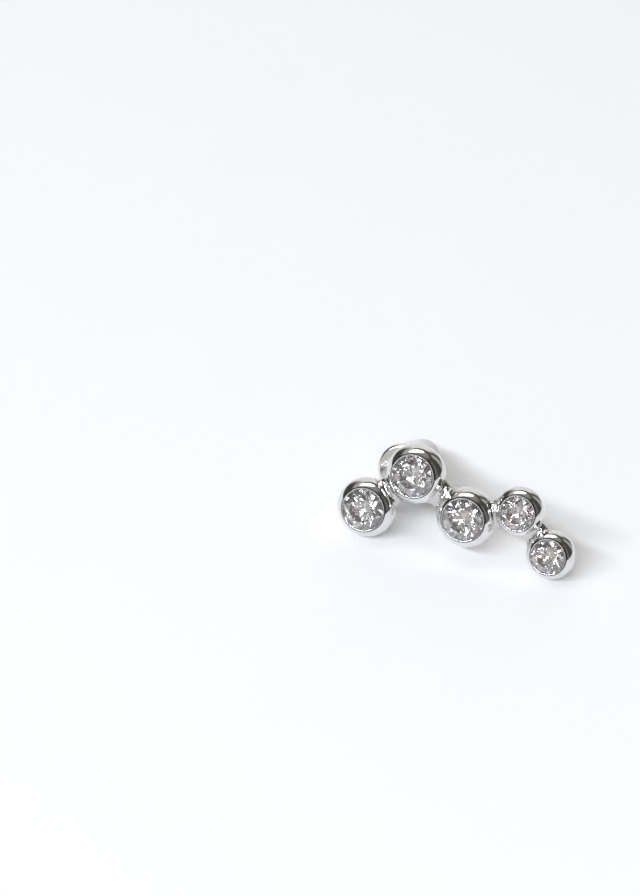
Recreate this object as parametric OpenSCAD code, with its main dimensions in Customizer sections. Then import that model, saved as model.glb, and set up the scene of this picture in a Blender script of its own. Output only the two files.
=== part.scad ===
/* [Stones] */
// Diameter of the three large stones
large_stone = 4.0; // [3.8:0.05:4.1]
// Diameter of the two small stones
small_stone = 3.3; // [3.1:0.05:3.4]
// Table width as a share of the stone
table_share = 0.57; // [0.53:0.01:0.62]
// Crown height as a share of the stone
crown_share = 0.15; // [0.12:0.01:0.16]
// Pavilion depth as a share of the stone
pavilion_share = 0.43; // [0.40:0.01:0.44]
// Thickness of the girdle
girdle_t = 0.06; // [0.04:0.01:0.10]
// Clearance between a stone and its seat
stone_gap = 0.03; // [0.02:0.01:0.05]

/* [Bezels] */
// Diameter of the three large bezels
large_bezel = 5.4; // [5.3:0.05:5.5]
// Diameter of the two small bezels
small_bezel = 4.46; // [4.4:0.02:4.5]
// Rounding radius of a large bezel, half of its depth
large_edge = 1.4; // [1.3:0.05:1.6]
// Rounding radius of a small bezel, half of its depth
small_edge = 1.15; // [1.1:0.05:1.3]
// How far the lip covers the rim of a stone
lip_cover = 0.07; // [0.05:0.01:0.10]
// Depth of the girdle below the edge of the lip
lip_depth = 0.14; // [0.12:0.01:0.18]

/* [Necks] */
// Half width of each neck at its waist, from the first bezel to the last
neck_r = [1.3, 1.24, 1.26, 1.16]; // [1:0.02:1.4]
// Depth of a neck as a share of its width
neck_depth = 0.7; // [0.6:0.02:0.75]
// Radius of the hollow curve along a neck
neck_flare = 0.6; // [0.5:0.05:0.8]
// How far a neck runs into each of its bezels
neck_root = 0.9; // [0.8:0.05:1]

/* [Post] */
// Radius of the ear post
post_r = 0.4; // [0.38:0.01:0.45]
// Post's place left of the second bezel's centre
post_left = 2.44; // [2.3:0.02:2.5]
// Post's place below the second bezel's centre
post_below = 0.4; // [0.3:0.05:0.5]
// Radius of the solder pad round the foot of the post
pad_r = 0.6; // [0.5:0.05:0.65]
// Height of the solder pad behind the large bezels
pad_h = 0.3; // [0.2:0.05:0.4]
// How far the post ends beyond the middle of the nut's dome
post_beyond = 0.5; // [0.3:0.1:0.8]

/* [Ear nut] */
// Radius of the flange that meets the ear
flange_r = 2.37; // [2.2:0.01:2.5]
// Thickness of the flange
flange_t = 0.7; // [0.6:0.05:0.8]
// Outer radius of the metal cup behind the flange
cup_r = 2.0; // [1.95:0.01:2.1]
// Length of the metal cup and flange
cup_len = 3.9; // [3.6:0.1:4.4]
// Wall of the metal cup
cup_wall = 0.25; // [0.2:0.01:0.3]
// Radius of the soft dome
dome_r = 1.58; // [1.5:0.01:1.6]
// From the face of the flange to the middle of the dome
dome_reach = 6.25; // [5.9:0.05:6.5]
// Clearance between the post and the bore of the dome, on the radius
bore_gap = 0.04; // [0.02:0.01:0.08]
// Clearance between the dome's core and the metal cup
core_gap = 0.03; // [0.02:0.01:0.05]

/* [Rest] */
// Angle that the stones' faces lean back from lying flat
lean = 66.6; // [64:0.1:68]

/* [Hidden] */
$fn = 96;

// Columns of the table of bezels: middle in the plane of the row, size, turn of the cut
COL_X = 0;
COL_Y = 1;
COL_LARGE = 2;
COL_TURN = 3;
BEZELS = [
    [-4.85, -3.0, true, 4],
    [0, 0, true, 17],
    [4.35, -4.0, true, 33],
    [9.35, -3.5, false, 9],
    [11.9, -7.45, false, 26],
];

function middle(row) = [row[COL_X], row[COL_Y], 0];
function stone_d(row) = row[COL_LARGE] ? large_stone : small_stone;
function bezel_r(row) = (row[COL_LARGE] ? large_bezel : small_bezel) / 2;
function edge_r(row) = row[COL_LARGE] ? large_edge : small_edge;

// Height of the rounded bezel's surface where the lip ends
function lip_r(row) = stone_d(row) / 2 - lip_cover;
function lip_z(row) =
    sqrt(pow(edge_r(row), 2) - pow(lip_r(row) - (bezel_r(row) - edge_r(row)), 2));
function girdle_z(row) = lip_z(row) - lip_depth;
function table_z(row) = girdle_z(row) + crown_share * stone_d(row);

// The table that the piece lies on touches the first bezel, the last bezel and the nut's dome.
// reach is how far a bezel spreads from its middle in a direction of the plane's share across.
function reach(row, across) = (bezel_r(row) - edge_r(row)) * across + edge_r(row);
first = BEZELS[0];
last = BEZELS[4];
row_x = last[COL_X] - first[COL_X];
row_y = last[COL_Y] - first[COL_Y];
foot_step = (reach(last, sin(lean)) - reach(first, sin(lean))) / sin(lean);
roll = asin(foot_step / norm([row_x, row_y])) - atan2(row_y, row_x);
up = [sin(lean) * sin(roll), sin(lean) * cos(roll), cos(lean)];
along = [cos(roll), -sin(roll), 0];
back = cross(up, along);
rest_z = reach(first, sin(lean)) - up * middle(first);

// Depths behind the plane of the bezels' middles
post_at = [-post_left, -post_below, 0];
dome_at = (rest_z + up * post_at - dome_r) / cos(lean);
flange_at = dome_at - dome_reach;
post_end = dome_at + post_beyond;
pad_end = large_edge + pad_h;

// The box round everything, which puts the origin under its middle
function table_points(row) = [
    for (i = [0:7])
        let (a = row[COL_TURN] + 45 * i, r = table_share * stone_d(row) / 2)
        middle(row) + [r * cos(a), r * sin(a), table_z(row)]];
low_x = min([for (row = BEZELS) along * middle(row) - reach(row, 1)]);
high_x = max([for (row = BEZELS) along * middle(row) + reach(row, 1)]);
low_y = min(concat(
    [for (row = BEZELS) back * middle(row) - reach(row, cos(lean))],
    [for (row = BEZELS) for (p = table_points(row)) back * p]));
high_y = back * (post_at - [0, 0, dome_at]) + dome_r;

// Stands the piece on the table as it lies there
module rest() {
    translate([-(low_x + high_x) / 2, -(low_y + high_y) / 2, rest_z])
    rotate([lean, 0, 0])
    rotate([0, 0, roll])
        children();
}

module at_bezel(row) {
    translate(middle(row)) children();
}

// A revolved shape that stands on the post, its profile measured in depth behind the bezels
module on_post() {
    translate(post_at) mirror([0, 0, 1]) rotate_extrude() children();
}

module bezel_blank(r, edge) {
    rotate_extrude() {
        translate([0, -edge]) square([r - edge, 2 * edge]);
        intersection() {
            translate([r - edge, 0]) circle(r = edge);
            translate([0, -edge]) square([r, 2 * edge]);
        }
    }
}

// Room for one stone: open front, undercut for the girdle, cone for the pavilion
module seat(d, lip, front, girdle) {
    rim = d / 2 + stone_gap;
    hollow = 0.3;
    under = girdle - girdle_t - stone_gap;
    bottom = girdle - girdle_t - pavilion_share * d - 3 * stone_gap;
    rotate_extrude() polygon([
        [0, bottom],
        [hollow, bottom],
        [rim, under - 0.02],
        [rim, girdle + stone_gap],
        [lip, girdle + stone_gap + lip_cover],
        [lip, front],
        [0, front],
    ]);
}

// A short neck from one bezel to the next, waisted halfway across their gap and flatter in depth
module neck(i) {
    a = BEZELS[i];
    b = BEZELS[i + 1];
    span = middle(b) - middle(a);
    free = (norm(span) - bezel_r(a) - bezel_r(b)) / 2;
    waist = bezel_r(a) + free;
    half_len = free + neck_root;
    flared = neck_r[i] + neck_flare * 0.4;
    translate(middle(a) + span * waist / norm(span))
    rotate([0, 90, atan2(span[1], span[0])])
    intersection() {
        rotate_extrude() difference() {
            translate([0, -half_len]) square([flared, 2 * half_len]);
            translate([neck_r[i] + neck_flare, 0]) circle(r = neck_flare);
        }
        cube([2 * neck_depth * neck_r[i], 3 * flared, 3 * half_len], center = true);
    }
}

// Ear post with a rounded end, and the flared pad that joins it to the second bezel
module post() {
    root = 0.3;
    shoulder = 1;
    on_post() {
        translate([0, shoulder]) square([post_r, post_end - post_r - shoulder]);
        intersection() {
            translate([0, post_end - post_r]) circle(r = post_r);
            translate([0, post_end - 2 * post_r]) square([post_r, 2 * post_r]);
        }
    }
    on_post() polygon([
        [0, root],
        [0.15, root],
        [pad_r, shoulder],
        [pad_r, pad_end - pad_h / 2],
        [post_r + 0.1, pad_end],
        [0, pad_end],
    ]);
}

module setting() {
    color("silver") rest() difference() {
        union() {
            for (row = BEZELS) at_bezel(row) bezel_blank(bezel_r(row), edge_r(row));
            for (i = [0:3]) neck(i);
            post();
        }
        for (row = BEZELS)
            at_bezel(row) seat(stone_d(row), lip_r(row), edge_r(row) + 1, girdle_z(row));
    }
}

// Round brilliant: table, stars, kites, girdle and pavilion, sixteen sided at the girdle
function ring(n, r, z, start) =
    [for (i = [0:n - 1]) [r * cos(start + 360 * i / n), r * sin(start + 360 * i / n), z]];

module brilliant(d) {
    girdle = d / 2;
    table = table_share * girdle;
    crown = crown_share * d;
    pavilion = pavilion_share * d;
    star_way = 0.5;
    lower_way = 0.24;
    half_step = 22.5;
    star_r = (table + star_way * (girdle - table)) / cos(half_step);
    lower_r = lower_way * girdle / cos(half_step);
    lower_z = -girdle_t - pavilion * (1 - lower_way);
    points = concat(
        ring(8, table, crown, 0),
        ring(8, star_r, crown * (1 - star_way), half_step),
        ring(16, girdle, 0, 0),
        ring(16, girdle, -girdle_t, 0),
        ring(8, lower_r, lower_z, half_step),
        [[0, 0, -girdle_t - pavilion]]);
    star = 8;
    upper = 16;
    lower = 32;
    main = 48;
    culet = 56;
    faces = concat(
        [[for (i = [7:-1:0]) i]],
        [for (i = [0:7]) [i, (i + 1) % 8, star + i]],
        [for (i = [0:7]) [i, star + i, upper + 2 * i, star + (i + 7) % 8]],
        [for (i = [0:7]) [star + i, upper + 2 * i + 1, upper + 2 * i]],
        [for (i = [0:7]) [star + i, upper + (2 * i + 2) % 16, upper + 2 * i + 1]],
        [for (i = [0:15])
            [upper + i, upper + (i + 1) % 16, lower + (i + 1) % 16, lower + i]],
        [for (i = [0:7]) [main + i, lower + 2 * i, lower + 2 * i + 1]],
        [for (i = [0:7]) [main + i, lower + 2 * i + 1, lower + (2 * i + 2) % 16]],
        [for (i = [0:7]) [culet, main + (i + 7) % 8, lower + 2 * i, main + i]]);
    polyhedron(points, faces);
}

module stone(i) {
    row = BEZELS[i - 1];
    color("lightcyan") rest() at_bezel(row)
        translate([0, 0, girdle_z(row)]) rotate([0, 0, row[COL_TURN]]) brilliant(stone_d(row));
}

// Metal flange with a rounded rim, and the cup that holds the soft core
module nut_collar() {
    edge = flange_t / 2;
    end = flange_at + cup_len;
    mouth = post_r + 0.2;
    color("silver") rest() on_post() difference() {
        union() {
            translate([0, flange_at]) square([flange_r - edge, flange_t]);
            translate([flange_r - edge, flange_at + edge]) circle(r = edge);
            translate([0, flange_at + edge]) square([cup_r, cup_len - 2 * edge]);
            translate([0, flange_at + edge]) square([cup_r - edge, cup_len - edge]);
            translate([cup_r - edge, end - edge]) circle(r = edge);
        }
        translate([-flange_r, flange_at - 1]) square([flange_r, cup_len + 2]);
        translate([0, flange_at - 1]) square([mouth, cup_len + 2]);
        translate([0, flange_at + cup_wall])
            square([cup_r - cup_wall, cup_len - 2 * cup_wall]);
        translate([0, flange_at + cup_wall]) square([dome_r + core_gap, cup_len + 1]);
    }
}

// Soft core inside the cup, which runs out into the dome and is bored for the post
module nut_dome() {
    core_r = cup_r - cup_wall - core_gap;
    start = flange_at + cup_wall + core_gap;
    core_len = cup_len - 2 * cup_wall - 2 * core_gap;
    bore = post_r + bore_gap;
    color("lightgrey") rest() on_post() difference() {
        union() {
            translate([0, start]) square([core_r, core_len]);
            translate([0, start]) square([dome_r, dome_at - start]);
            intersection() {
                translate([0, dome_at]) circle(r = dome_r);
                translate([0, dome_at - dome_r]) square([dome_r, 2 * dome_r]);
            }
        }
        translate([0, flange_at]) square([bore, dome_reach + dome_r + 1]);
    }
}

setting();
stone(1);  // stone_1
stone(2);  // stone_2
stone(3);  // stone_3
stone(4);  // stone_4
stone(5);  // stone_5
nut_collar();
nut_dome();
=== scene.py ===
# %% [markdown]
# A cluster earring lies on a white table: five bright bezels in a zig-zag row, each with a clear
# stone, and behind them an ear post with its nut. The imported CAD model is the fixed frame. It keeps
# the stones, whose cut is right, and every metal and silicone piece is made again here with finer
# curves, because a mirror finish shows each flat facet of a coarse mesh.

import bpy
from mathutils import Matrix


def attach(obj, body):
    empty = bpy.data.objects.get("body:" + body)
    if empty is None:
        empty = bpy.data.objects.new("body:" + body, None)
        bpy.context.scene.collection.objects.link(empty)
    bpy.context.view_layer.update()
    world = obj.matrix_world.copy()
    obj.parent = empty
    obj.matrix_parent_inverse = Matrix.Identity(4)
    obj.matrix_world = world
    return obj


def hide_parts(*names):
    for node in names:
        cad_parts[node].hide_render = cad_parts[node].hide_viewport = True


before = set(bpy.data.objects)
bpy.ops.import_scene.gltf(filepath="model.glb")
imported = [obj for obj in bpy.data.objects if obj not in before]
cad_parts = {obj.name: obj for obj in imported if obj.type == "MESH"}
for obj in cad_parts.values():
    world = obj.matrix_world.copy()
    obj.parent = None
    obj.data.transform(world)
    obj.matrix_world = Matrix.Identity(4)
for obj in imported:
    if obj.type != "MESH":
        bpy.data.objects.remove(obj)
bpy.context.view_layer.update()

# %% Other modules
import math

import bmesh
import bpy
from mathutils import Matrix, Vector

# %% [markdown]
# Where things are. The row of bezels is flat, so it is easiest to model in its own plane: X along
# the row, Y across it and Z out towards the viewer, in millimetres, from the middle of the second
# bezel. One matrix then lays the finished row on the table, leaning back on its first bezel, its
# last bezel and the nut. The numbers are those of the construction, so every piece stays where its
# solid is.

# %% The resting place
MM = 0.001
LEAN = math.radians(66.6)
ROLL = math.radians(13.2501)
ROW_PLACE = Vector((-4.39374, -3.23999, 6.29325))
REST = (
    Matrix.Scale(MM, 4)
    @ Matrix.Translation(ROW_PLACE)
    @ Matrix.Rotation(LEAN, 4, "X")
    @ Matrix.Rotation(ROLL, 4, "Z")
)
print("second bezel in mm:", [round(v, 3) for v in (REST @ Vector()) / MM])

# %% Sizes of the bezels
LARGE = {"radius": 2.7, "edge": 1.4, "stone": 4.0, "girdle": 1.1102}
SMALL = {"radius": 2.23, "edge": 1.15, "stone": 3.3, "girdle": 0.8957}
BEZELS = [
    ((-4.85, -3.0), LARGE),
    ((0.0, 0.0), LARGE),
    ((4.35, -4.0), LARGE),
    ((9.35, -3.5), SMALL),
    ((11.9, -7.45), SMALL),
]
STONE_GAP = 0.03
GIRDLE = 0.06
PAVILION_SHARE = 0.43
print("bezels:", len(BEZELS))

# %% [markdown]
# Nearly everything on this earring is round, so it is turned, as on a lathe. A profile starts as
# one vertex. Extruding that vertex draws a straight stretch, and spinning it about a nearby point
# draws an arc, so no coordinates of a curve have to be worked out by hand. Spinning the whole
# profile about Z with its ends merged then gives a closed, smooth shell.


# %% Draw a profile
class Profile:
    """A line of edges in the XZ plane, drawn from point to point, that can be turned."""

    def __init__(self, radius, height):
        self.bm = bmesh.new()
        self.first = bmesh.ops.create_vert(self.bm, co=(radius, 0, height))["vert"][0]
        self.tip = self.first

    def line(self, radius, height):
        made = bmesh.ops.extrude_vert_indiv(self.bm, verts=[self.tip])
        self.tip = made["verts"][0]
        way = Vector((radius, 0, height)) - self.tip.co
        bmesh.ops.translate(self.bm, verts=[self.tip], vec=way)
        return self

    def arc(self, centre, degrees, steps):
        made = bmesh.ops.spin(
            self.bm,
            geom=[self.tip],
            cent=(centre[0], 0, centre[1]),
            axis=(0, 1, 0),
            angle=math.radians(-degrees),
            steps=steps,
        )
        self.tip = [g for g in made["geom_last"] if isinstance(g, bmesh.types.BMVert)][0]
        return self

    def close(self):
        bmesh.ops.contextual_create(self.bm, geom=[self.tip, self.first])
        return self

    def turn(self, steps):
        bmesh.ops.spin(
            self.bm,
            geom=self.bm.verts[:] + self.bm.edges[:],
            cent=(0, 0, 0),
            axis=(0, 0, 1),
            angle=math.tau,
            steps=steps,
            use_merge=True,
        )
        bmesh.ops.remove_doubles(self.bm, verts=self.bm.verts[:], dist=1e-5)
        bmesh.ops.recalc_face_normals(self.bm, faces=self.bm.faces[:])
        return self.bm


print("profile drawing ready")

# %% [markdown]
# Real settings are soldered together from several parts, so a piece here is made of one or more
# shells. Each shell is moved to its place in the row's plane and added to the piece. The piece is
# then laid at rest within its mesh, so that its object stays at the origin. It is shaded as one
# smooth surface, except at edges that are sharper than a limit.

# %% Gather shells into one piece
SHARP = math.radians(32)


def add_shell(piece, shell, matrix):
    """Moves a shell by matrix and adds it to a piece's bmesh."""
    bmesh.ops.transform(shell, matrix=matrix, verts=shell.verts[:])
    if matrix.determinant() < 0:
        bmesh.ops.reverse_faces(shell, faces=shell.faces[:])
    mesh = bpy.data.meshes.new("shell")
    shell.to_mesh(mesh)
    shell.free()
    piece.from_mesh(mesh)
    bpy.data.meshes.remove(mesh)


def finish_piece(name, piece, body, nodes):
    """Lays a piece at rest, shades it smooth and hands it to the frame."""
    bmesh.ops.transform(piece, matrix=REST, verts=piece.verts[:])
    for edge in piece.edges:
        edge.smooth = edge.calc_face_angle(0) < SHARP
    for face in piece.faces:
        face.smooth = True
    mesh = bpy.data.meshes.new(name)
    piece.to_mesh(mesh)
    piece.free()
    made = bpy.data.objects.new(name, mesh)
    bpy.context.scene.collection.objects.link(made)
    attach(made, body)
    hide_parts(*nodes)
    print(name, "faces:", len(mesh.polygons))
    return made


print("a piece's edges are sharp from", round(math.degrees(SHARP)), "degrees")

# %% [markdown]
# A bezel is a thick disc with a fully rounded edge, so light slides round it in long bands. Its
# front is opened for the stone, and the metal is burnished over the stone's rim. That leaves a fine
# raised bead, which shows in the photo as a bright thread with a dark line beside it. The bead is
# an arc of its own at the end of the big edge arc. The dark line is shade in the crease at its
# foot, so the narrow ring of faces there gets a painted shade: a near-black, dull finish.
# Inside, the profile runs on down the seat, which can be seen through the stone.

# %% Turn one bezel
LIP_COVER = 0.12
BEAD = 0.075
BEAD_SINK = 0.035
CREASE = 0.055
SEAT_TIP = 0.3
ROUND_STEPS = 144
POLISHED, SOLDERED, PAINTED_CREASE_SHADE = range(3)


def bezel_shell(size):
    """A bezel about Z, with the faces of its crease marked for a painted shade."""
    edge = size["edge"]
    across = size["radius"] - edge
    lip = size["stone"] / 2 - LIP_COVER
    rim = size["stone"] / 2 + STONE_GAP
    reach = edge - BEAD_SINK
    tilt = math.acos((lip + BEAD - across) / reach)
    bead = (lip + BEAD, reach * math.sin(tilt))
    half_width = math.sqrt(BEAD**2 - BEAD_SINK**2)
    meets = tilt - half_width / edge
    foot = across + edge * math.cos(meets)
    bead_from = math.atan2(edge * math.sin(meets) - bead[1], foot - bead[0])
    seat_low = size["girdle"] - GIRDLE - PAVILION_SHARE * size["stone"] - 3 * STONE_GAP
    profile = Profile(0, -edge).line(across, -edge)
    profile.arc((across, 0), 90 + math.degrees(meets), steps=60)
    profile.arc(bead, 180 - math.degrees(bead_from), steps=14)
    profile.line(rim, size["girdle"] + STONE_GAP)
    profile.line(rim, size["girdle"] - GIRDLE - STONE_GAP)
    profile.line(SEAT_TIP, seat_low).line(0, seat_low)
    shell = profile.turn(ROUND_STEPS)
    # The faces in the crease at the bead's foot are marked for a painted shade.
    for face in shell.faces:
        middle = face.calc_center_median()
        if middle.z > 0 and abs(middle.xy.length - foot) < CREASE:
            face.material_index = PAINTED_CREASE_SHADE
    return shell


setting = bmesh.new()
for (x, y), size in BEZELS:
    add_shell(setting, bezel_shell(size), Matrix.Translation((x, y, 0)))
print("bezel faces:", len(setting.faces))

# %% [markdown]
# The necks between the bezels are short, broad and waisted, as if a ball had been rolled round the
# crook between two discs. They are less than half as deep as wide, so they stand back from the
# bezels' fronts. Their half width is known at the waist, and the ball that just touches both discs
# there follows from it. A neck is built as a stack of ellipses, bridged one to the next. Each
# ellipse keeps to the ball's curve until the ball touches the bezel, and then stays just under the
# bezel's own surface, so the joint has no step. The necks look like solder that was left rougher
# than the bezels, so their faces are marked for a finish of their own.

# %% Curve of a neck
NECK_HALF_WIDTHS = [1.3, 1.24, 1.26, 1.16]
NECK_DEPTH = 0.45
NECK_ROOT = 0.23
NECK_STEPS = 9
NECK_SIDES = 96
UNDER = 0.03


def neck_spread(waist, radius, free, at):
    """Half size of a neck at a distance from its waist, beside a disc of this radius."""
    ball = (waist**2 + 2 * radius * free + free**2) / (2 * radius - 2 * waist)
    touch = (waist + ball) / (radius + ball)
    inside = at - free
    if inside < radius * (1 - math.sqrt(1 - touch**2)):
        return waist + ball - math.sqrt(ball**2 - at**2)
    return math.sqrt(radius**2 - (radius - inside) ** 2) - UNDER


def neck_rows(half_width, size, free):
    """Place, half width and half depth of the ellipses from the waist into one bezel."""
    end = free + NECK_ROOT * size["radius"]
    for step in range(NECK_STEPS + 1):
        at = end * step / NECK_STEPS
        across = neck_spread(half_width, size["radius"], free, at)
        yield at, across, neck_spread(NECK_DEPTH * half_width, size["edge"], free, at)


print("half widths at the necks' waists in mm:", NECK_HALF_WIDTHS)

# %% Bridge the necks
ALONG_X = Matrix.Rotation(math.radians(90), 4, "Y")


def neck_shell(half_width, a_size, b_size, free):
    """A neck along Z with its waist at the origin, between a bezel below and one above."""
    rows = [(-at, across, deep) for at, across, deep in neck_rows(half_width, a_size, free)][:0:-1]
    rows += neck_rows(half_width, b_size, free)
    shell = bmesh.new()
    rings = []
    for number, (at, across, deep) in enumerate(rows):
        end = number in (0, len(rows) - 1)
        made = bmesh.ops.create_circle(shell, cap_ends=end, segments=NECK_SIDES, radius=1)
        ring = made["verts"]
        bmesh.ops.scale(shell, verts=ring, vec=(deep, across, 1))
        bmesh.ops.translate(shell, verts=ring, vec=(0, 0, at))
        rings.append(list({edge for vert in ring for edge in vert.link_edges}))
    for low, high in zip(rings, rings[1:]):
        bmesh.ops.bridge_loops(shell, edges=low + high)
    for face in shell.faces:
        face.material_index = SOLDERED
    bmesh.ops.recalc_face_normals(shell, faces=shell.faces[:])
    return shell


for half_width, (a, a_size), (b, b_size) in zip(NECK_HALF_WIDTHS, BEZELS, BEZELS[1:]):
    span = Vector((*b, 0)) - Vector((*a, 0))
    free = (span.length - a_size["radius"] - b_size["radius"]) / 2
    waist = Vector((*a, 0)) + span.normalized() * (a_size["radius"] + free)
    turned = Matrix.Rotation(math.atan2(span.y, span.x), 4, "Z") @ ALONG_X
    neck = neck_shell(half_width, a_size, b_size, free)
    add_shell(setting, neck, Matrix.Translation(waist) @ turned)
print("with necks:", len(setting.faces))

# %% [markdown]
# The ear post is drawn wire with a rounded end and a shallow notch near it, where the nut's grip
# can be felt. A flared pad of solder joins it to the back of the second bezel. In its profile, as
# in the nut's, a height is a distance behind the row's plane. Behind the row Z is negative, so the
# turned shell is mirrored in Z on the way to its place.

# %% Turn the post
POST = 0.4
POST_AT = Vector((-2.44, -0.4, 0))
POST_END = 10.1757
POST_STEPS = 64
PAD = 0.6
PAD_TIP = 0.15
PAD_FROM = 0.3
PAD_FLARED = 1.0
PAD_END = 1.7
PAD_SHOULDER = PAD_END - 0.15
PAD_ROUND = 0.1
NOTCH_FROM = POST_END - 1.6
NOTCH_END = NOTCH_FROM + 0.5
NOTCH_DEEP = 0.05
NOTCH_SLOPE = 0.1
ON_POST = Matrix.Translation(POST_AT) @ Matrix.Scale(-1, 4, (0, 0, 1))

post = Profile(0, PAD_FROM).line(PAD_TIP, PAD_FROM).line(PAD, PAD_FLARED).line(PAD, PAD_SHOULDER)
post.arc((PAD - PAD_ROUND, PAD_SHOULDER), 70, steps=5).line(POST, PAD_END)
post.line(POST, NOTCH_FROM).line(POST - NOTCH_DEEP, NOTCH_FROM + NOTCH_SLOPE)
post.line(POST - NOTCH_DEEP, NOTCH_END - NOTCH_SLOPE).line(POST, NOTCH_END)
post.line(POST, POST_END - POST).arc((0, POST_END - POST), 90, steps=12)
add_shell(setting, post.turn(POST_STEPS), ON_POST)
setting_piece = finish_piece("setting_polished", setting, "earring", ["setting"])

# %% [markdown]
# The ear nut has two parts. A pressed metal cup has a broad flange with a rolled rim against the
# ear. A soft silicone core fills the cup and runs out into a dome behind it. Each is one closed
# profile turned about the post.

# %% Turn the nut's cup
FLANGE_AT = 3.42566
FLANGE = 2.37
FLANGE_THICK = 0.7
FLANGE_STEP = 0.05
CUP = 2.0
CUP_LENGTH = 3.9
CUP_WALL = 0.25
DOME = 1.58
DOME_AT = 9.67566
CORE_GAP = 0.03
MOUTH = POST + 0.2
roll = FLANGE_THICK / 2
cup_end = FLANGE_AT + CUP_LENGTH

cup = Profile(MOUTH, FLANGE_AT).line(FLANGE - roll, FLANGE_AT)
cup.arc((FLANGE - roll, FLANGE_AT + roll), 175, steps=28)
cup.line(CUP, FLANGE_AT + FLANGE_THICK + FLANGE_STEP).line(CUP, cup_end - roll)
cup.arc((CUP - roll, cup_end - roll), 90, steps=16)
cup.line(DOME + CORE_GAP, cup_end).line(DOME + CORE_GAP, cup_end - CUP_WALL)
cup.line(CUP - CUP_WALL, cup_end - CUP_WALL).line(CUP - CUP_WALL, FLANGE_AT + CUP_WALL)
cup.line(MOUTH, FLANGE_AT + CUP_WALL).close()
cup_shells = bmesh.new()
add_shell(cup_shells, cup.turn(ROUND_STEPS), ON_POST)
cup_piece = finish_piece("nut_cup", cup_shells, "ear_nut", ["nut_collar"])

# %% Turn the nut's soft core
BORE = POST + 0.04
BORE_FLARE = 0.12
BORE_LIP = 0.03
core = CUP - CUP_WALL - CORE_GAP
core_start = FLANGE_AT + CUP_WALL + CORE_GAP
core_end = cup_end - CUP_WALL - CORE_GAP
dome_open = math.asin((BORE + BORE_FLARE) / DOME)
dome_end = DOME_AT + DOME * math.cos(dome_open)

soft = Profile(BORE, core_start).line(core, core_start).line(core, core_end)
soft.line(DOME, core_end).line(DOME, DOME_AT)
soft.arc((0, DOME_AT), 90 - math.degrees(dome_open), steps=28)
soft.line(BORE + BORE_LIP, dome_end - BORE_LIP)
soft.line(BORE, dome_end - BORE_LIP - BORE_FLARE).close()
core_shells = bmesh.new()
add_shell(core_shells, soft.turn(ROUND_STEPS), ON_POST)
core_piece = finish_piece("nut_core", core_shells, "ear_nut", ["nut_dome"])

# %% [markdown]
# Materials are node graphs, and node graphs are easiest to read as sums. This class holds one
# socket. Adding or multiplying it adds the Math node, so a finish is written as an expression.


# %% A socket that can be calculated with
class Wire:
    """A shader socket. Python's operators on it add Math nodes."""

    def __init__(self, tree, socket=None):
        self.tree = tree
        self.socket = socket

    def node(self, kind, settings=(), links=(), out=0):
        """Adds a node. Its settings are set first, then its sockets' values or links."""
        made = self.tree.nodes.new(kind)
        for name, value in dict(settings).items():
            if name == "stops":
                ramp = made.color_ramp.elements
                while len(ramp) < len(value):
                    ramp.new(0.5)
                for stop, (place, shade) in zip(ramp, value):
                    stop.position = place
                    stop.color = (*shade, 1)
            else:
                setattr(made, name, value)
        for name, value in dict(links).items():
            if isinstance(value, Wire):
                self.tree.links.new(value.socket, made.inputs[name])
            else:
                made.inputs[name].default_value = value
        return Wire(self.tree, made.outputs[out])

    def math(self, operation, first, second):
        return self.node("ShaderNodeMath", {"operation": operation}, {0: first, 1: second})

    def __add__(self, other):
        return self.math("ADD", self, other)

    __radd__ = __add__

    def __mul__(self, other):
        return self.math("MULTIPLY", self, other)

    __rmul__ = __mul__

    def __sub__(self, other):
        return self.math("SUBTRACT", self, other)

    def __rsub__(self, other):
        return self.math("SUBTRACT", other, self)

    def ramp(self, low, high):
        """0 below low, 1 above high, smooth between."""
        return self.node(
            "ShaderNodeMapRange",
            {"interpolation_type": "SMOOTHSTEP"},
            {"Value": self, "From Min": low, "From Max": high},
        )


print("socket arithmetic ready")

# %% [markdown]
# Every finish starts in the same way: a Principled shader with its constants set, and the piece's
# own Object coordinates in metres, on which a pattern keeps its size and its place. A Mix node has
# several sockets of the same name, one for each type of data, so those for colours go by number.

# %% Small helpers for finishes
MIX_FIRST, MIX_SECOND, MIX_RESULT = 6, 7, 2


def new_material(name, constants):
    """A Principled material with constants on the shader's own sockets."""
    material = bpy.data.materials.new(name)
    material.use_nodes = True
    shader = material.node_tree.nodes["Principled BSDF"]
    for socket, value in constants.items():
        shader.inputs[socket].default_value = value
    graph = Wire(material.node_tree)
    return material, shader, graph, graph.node("ShaderNodeTexCoord", out="Object")


def connect(shader, **wires):
    """Links wires to the shader's sockets, whose names are written with _ for a space."""
    for name, wire in wires.items():
        socket = shader.inputs[name.replace("_", " ")]
        wire.tree.links.new(wire.socket, socket)


def blend_colours(graph, share, first, second):
    return graph.node(
        "ShaderNodeMix",
        {"data_type": "RGBA"},
        {"Factor": share, MIX_FIRST: (*first, 1), MIX_SECOND: (*second, 1)},
        out=MIX_RESULT,
    )


def noise(graph, place, scale, detail=2.0):
    return graph.node("ShaderNodeTexNoise", {}, {"Vector": place, "Scale": scale, "Detail": detail})


print("finish helpers ready")

# %% [markdown]
# The plating is a bright, slightly grey white metal. It is nearly a mirror, but polishing leaves a
# faint haze that comes and goes, and hair-fine wipe marks. The haze varies the roughness. The wipe
# marks are noise stretched along one direction, and gentle lumps are added to them in one bump. The
# relief is that bump's strength, which limits how far it can lean the surface: hardly at all on
# polished metal, and a good deal on the solder of the necks, which sparkles unevenly. The crease is
# near-black and dull, a painted shade, and the nut is less polished than the bezels.

# %% Plated metals
WIPES = (900.0, 9000.0, 2500.0)
LUMPS = 2400.0
LUMP_SHARE = 14.0
BUMP_DISTANCE = 0.00001


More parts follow.
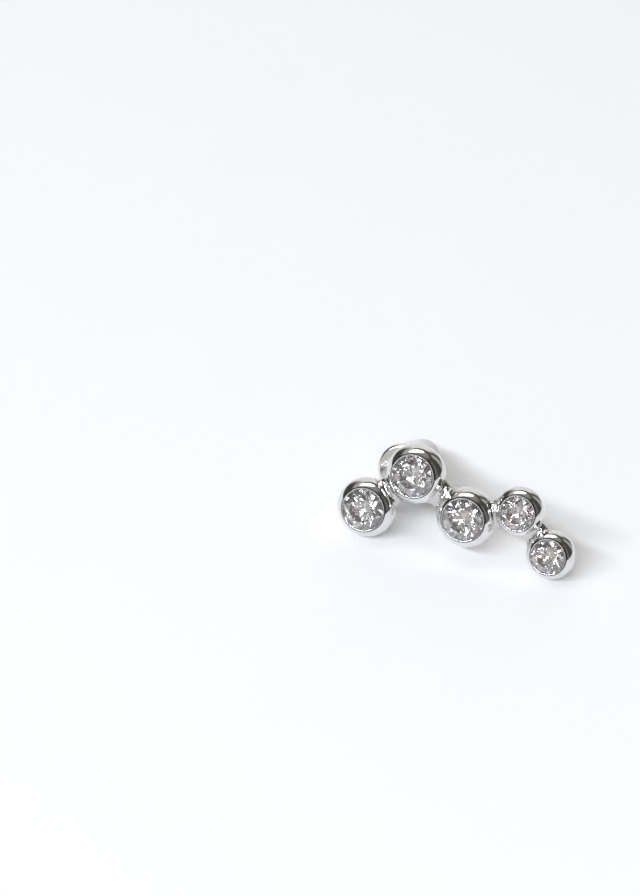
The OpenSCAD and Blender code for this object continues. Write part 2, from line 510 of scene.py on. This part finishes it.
def plating(name, shade, haze, relief=0.02):
    """A plated metal of one shade, with haze as its roughness and relief as its bump's strength."""
    material, shader, graph, place = new_material(name, {"Metallic": 1.0})
    clouds = noise(graph, place, 420.0, 3.0)
    stretched = graph.node("ShaderNodeMapping", {}, {"Vector": place, "Scale": WIPES})
    marks = noise(graph, stretched, 1.0) + noise(graph, place, LUMPS) * LUMP_SHARE
    darker = tuple(v * 0.94 for v in shade)
    connect(
        shader,
        Base_Color=blend_colours(graph, clouds.ramp(0.3, 0.7), darker, shade),
        Roughness=haze * (clouds.ramp(0.35, 0.75) * 0.9 + 0.6),
        Normal=graph.node(
            "ShaderNodeBump", {}, {"Strength": relief, "Distance": BUMP_DISTANCE, "Height": marks}
        ),
    )
    return material


setting_finishes = {
    POLISHED: plating("polished_plating", (0.80, 0.80, 0.795), haze=0.035),
    SOLDERED: plating("solder_plating", (0.62, 0.61, 0.60), haze=0.08, relief=0.6),
    # Painted shade: the crease's near-black, dull finish stands in for the shadow in the groove.
    PAINTED_CREASE_SHADE: plating("crease_painted_shade", (0.12, 0.12, 0.12), haze=0.25),
}
for index in sorted(setting_finishes):
    setting_piece.data.materials.append(setting_finishes[index])
nut_metal = plating("nut_plating", (0.80, 0.79, 0.78), haze=0.17)
cup_piece.data.materials.append(nut_metal)
print("metals:", [metal.name for metal in setting_piece.data.materials], nut_metal.name)

# %% [markdown]
# The stones are clear, with the high refractive index of cubic zirconia, so much of the light that
# enters comes back out through the top in small broken patches. The cut does that by itself once
# the index is right, but a real cut is never as even as a drawn one. Small cells of noise that lean
# the surface a little, each its own way, break up the patches as uneven facets would. In the photo
# the stones look grey rather than brilliant, so the body takes some light away. A faint tint that
# changes over the stone stands in for the colours into which a real one splits white light.

# %% Clear stone
CELLS = 2300.0
CELL_LEAN = (0.045, 0.045, 0.045)
MIDDLE = (0.5, 0.5, 0.5)
stone_clear, shader, graph, place = new_material(
    "clear_stone", {"Roughness": 0.06, "IOR": 2.17, "Transmission Weight": 0.95}
)
fire = graph.node(
    "ShaderNodeValToRGB",
    {
        "stops": [
            (0.3, (0.80, 0.79, 0.80)),
            (0.5, (0.81, 0.79, 0.78)),
            (0.6, (0.76, 0.73, 0.82)),
            (0.7, (0.92, 0.62, 0.43)),
        ]
    },
    {"Fac": noise(graph, place, 900.0, 1.0)},
)
cells = graph.node("ShaderNodeTexVoronoi", {}, {"Vector": place, "Scale": CELLS}, out="Color")
either_way = graph.node("ShaderNodeVectorMath", {"operation": "SUBTRACT"}, {0: cells, 1: MIDDLE})
surface = graph.node("ShaderNodeNewGeometry", out="Normal")
leaning = graph.node(
    "ShaderNodeVectorMath",
    {"operation": "MULTIPLY_ADD"},
    {0: either_way, 1: CELL_LEAN, 2: surface},
)
normal = graph.node("ShaderNodeVectorMath", {"operation": "NORMALIZE"}, {0: leaning})
connect(shader, Base_Color=fire, Normal=normal)
for number in range(1, len(BEZELS) + 1):
    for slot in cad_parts[f"stone_{number}"].material_slots:
        slot.material = stone_clear
print("stones:", stone_clear.name)

# %% [markdown]
# The core is soft silicone: milky, and satin rather than glossy. Light goes in, scatters and comes
# out again, so the finish is mostly subsurface scattering, with only a little transmission.

# %% Silicone
silicone, shader, graph, place = new_material(
    "milky_silicone",
    {
        "IOR": 1.41,
        "Transmission Weight": 0.15,
        "Subsurface Weight": 0.8,
        "Subsurface Scale": 0.0012,
        "Subsurface Radius": (1.0, 1.0, 1.0),
    },
)
clouds = noise(graph, place, 700.0, 3.0)
connect(
    shader,
    Base_Color=blend_colours(graph, clouds.ramp(0.3, 0.7), (0.86, 0.88, 0.87), (0.94, 0.95, 0.95)),
    Roughness=clouds * 0.12 + 0.3,
)
core_piece.data.materials.append(silicone)
print("silicone:", silicone.name)

# %% [markdown]
# The table is a plain, smooth, very pale sheet, and isn't part of the object. It reaches metres
# away on every side, so that its edge lies almost at the horizon.

# %% Table
TABLE_REACH = 4.0
table_bm = bmesh.new()
bmesh.ops.create_grid(table_bm, x_segments=1, y_segments=1, size=TABLE_REACH)
table_mesh = bpy.data.meshes.new("table")
table_bm.to_mesh(table_mesh)
table_bm.free()
table = bpy.data.objects.new("table", table_mesh)
bpy.context.scene.collection.objects.link(table)
table_pale, shader, graph, place = new_material("pale_table", {"Specular IOR Level": 0.2})
clouds = noise(graph, place, 90.0, 3.0)
connect(
    shader,
    Base_Color=blend_colours(graph, clouds, (0.928, 0.930, 0.939), (0.943, 0.945, 0.954)),
    Roughness=clouds * 0.1 + 0.55,
)
table_mesh.materials.append(table_pale)
print("table:", table.name)

# %% [markdown]
# Polished metal shows nothing but its surroundings, so the room matters as much as the metal. The
# bands on the bezels say what stood round the table. Behind it rose a pale sweep, brightest a
# little to the left and cut off by a dark gap some way up. The sides were dark, with a paler wall
# high on the left and two faint pale posts on the right. The ceiling was grey. Low down in front
# was something grey, which the stones show and the bezels don't. The sky is a sum of these, each a
# smooth function of direction, and its light is a little warm.

# %% Directions in the room
scene = bpy.context.scene
scene.view_settings.view_transform = "Standard"
scene.view_settings.look = "None"
room = bpy.data.worlds.new("room")
scene.world = room
room.use_nodes = True
graph = Wire(room.node_tree)
sky = graph.node("ShaderNodeTexCoord", out=0)
flat = graph.node("ShaderNodeVectorMath", {"operation": "MULTIPLY"}, {0: sky, 1: (1.0, 1.0, 0.0)})
level = graph.node("ShaderNodeVectorMath", {"operation": "NORMALIZE"}, {0: flat})
rise = graph.node("ShaderNodeSeparateXYZ", {}, {0: sky}, out="Z")


def facing(azimuth):
    """How far a direction, laid flat, points towards an azimuth: 1 is straight there."""
    a = math.radians(azimuth)
    return level.node(
        "ShaderNodeVectorMath",
        {"operation": "DOT_PRODUCT"},
        {0: level, 1: (math.sin(a), -math.cos(a), 0.0)},
        out="Value",
    )


def above(low, high):
    """0 for directions below one elevation in degrees, 1 above the other, smooth between."""
    return rise.ramp(math.sin(math.radians(low)), math.sin(math.radians(high)))


print("directions ready")

# %% The room
WARM_WHITE = (1.0, 0.98, 0.925, 1)
CORNERS = 0.07
PAST_TABLE = 0.9
sweep = facing(-166).ramp(0.7, 0.95) * (1.0 - above(48, 54)) * 0.8
wall = facing(-97).ramp(0.75, 0.95) * above(30, 44) * 0.4
wall = wall * (1.0 - above(58, 66))
ceiling = above(58, 82) * 0.22
posts = facing(68).ramp(0.985, 0.998) * 0.1 + facing(129).ramp(0.96, 0.995) * 0.36
posts = posts * (1.0 - above(48, 58))
front = facing(-16).ramp(0.55, 0.85) * (1.0 - above(20, 34)) * 0.52
glow = sweep + wall + ceiling + posts + front + CORNERS
below = 1.0 - above(-2, 2)
strength = glow * (1.0 - below) + below * PAST_TABLE
background = room.node_tree.nodes["Background"]
background.inputs["Color"].default_value = WARM_WHITE
room.node_tree.links.new(strength.socket, background.inputs["Strength"])
print("room ready")

# %% [markdown]
# Two area lights do the rest. A long oval soft box almost overhead, a little to the left, is what
# the bezels mirror as a white crescent. A wide, slim light in front stands where no bezel mirrors
# it, so only the shadows, the necks and the stones show it, and it is a little cool.


# %% Soft lights
def towards(azimuth, elevation):
    """A direction from the table: azimuth 0 is towards the front, positive to the right."""
    a, e = math.radians(azimuth), math.radians(elevation)
    return Vector((math.sin(a) * math.cos(e), -math.cos(a) * math.cos(e), math.sin(e)))


def soft_light(name, way, distance, size, watts, colour, shape="RECTANGLE", turn=0):
    """An area light that faces the table from a direction, turned in its plane by degrees."""
    light = bpy.data.lights.new(name, "AREA")
    light.shape = shape
    light.size, light.size_y = size
    light.energy = watts
    light.color = colour
    made = bpy.data.objects.new(name, light)
    scene.collection.objects.link(made)
    made.location = way * distance
    facing_in = (-way).to_track_quat("-Z", "Y").to_matrix()
    made.rotation_euler = (facing_in @ Matrix.Rotation(math.radians(turn), 3, "Z")).to_euler()


soft_light(
    "front_light",
    towards(-14, 43),
    distance=1.2,
    size=(1.6, 0.12),
    watts=17.3,
    colour=(0.90, 0.93, 1.0),
)
soft_light(
    "overhead_box",
    towards(-118, 72),
    distance=1.0,
    size=(0.84, 0.46),
    watts=1.9,
    colour=(1.0, 0.98, 0.95),
    shape="ELLIPSE",
    turn=-38,
)

# %% [markdown]
# The camera looks down on the lying earring from in front, a little to the right. Its place and
# focal length were fitted to the bezels' and stones' outlines, and a long lens keeps the
# perspective flat.

# %% Camera
CAMERA_AZIMUTH = 20
CAMERA_ELEVATION = 37
CAMERA_ROLL = math.radians(0.44)
CAMERA_DISTANCE = 0.4
CAMERA_AIM = Vector((-14.30, -1.14, 5.0)) * MM
PIXELS_PER_MM = 11.11
SENSOR = 36.0
PHOTO_HEIGHT = 896

camera_data = bpy.data.cameras.new("camera")
camera_data.sensor_width = SENSOR
camera_data.lens = PIXELS_PER_MM * CAMERA_DISTANCE / MM * SENSOR / PHOTO_HEIGHT
camera_data.clip_start = 0.01
camera = bpy.data.objects.new("camera", camera_data)
scene.collection.objects.link(camera)
away = towards(CAMERA_AZIMUTH, CAMERA_ELEVATION)
camera.location = CAMERA_AIM + away * CAMERA_DISTANCE
looking = (-away).to_track_quat("-Z", "Y").to_matrix() @ Matrix.Rotation(CAMERA_ROLL, 3, "Z")
camera.rotation_euler = looking.to_euler()
scene.camera = camera
print("lens in mm:", round(camera_data.lens, 1))
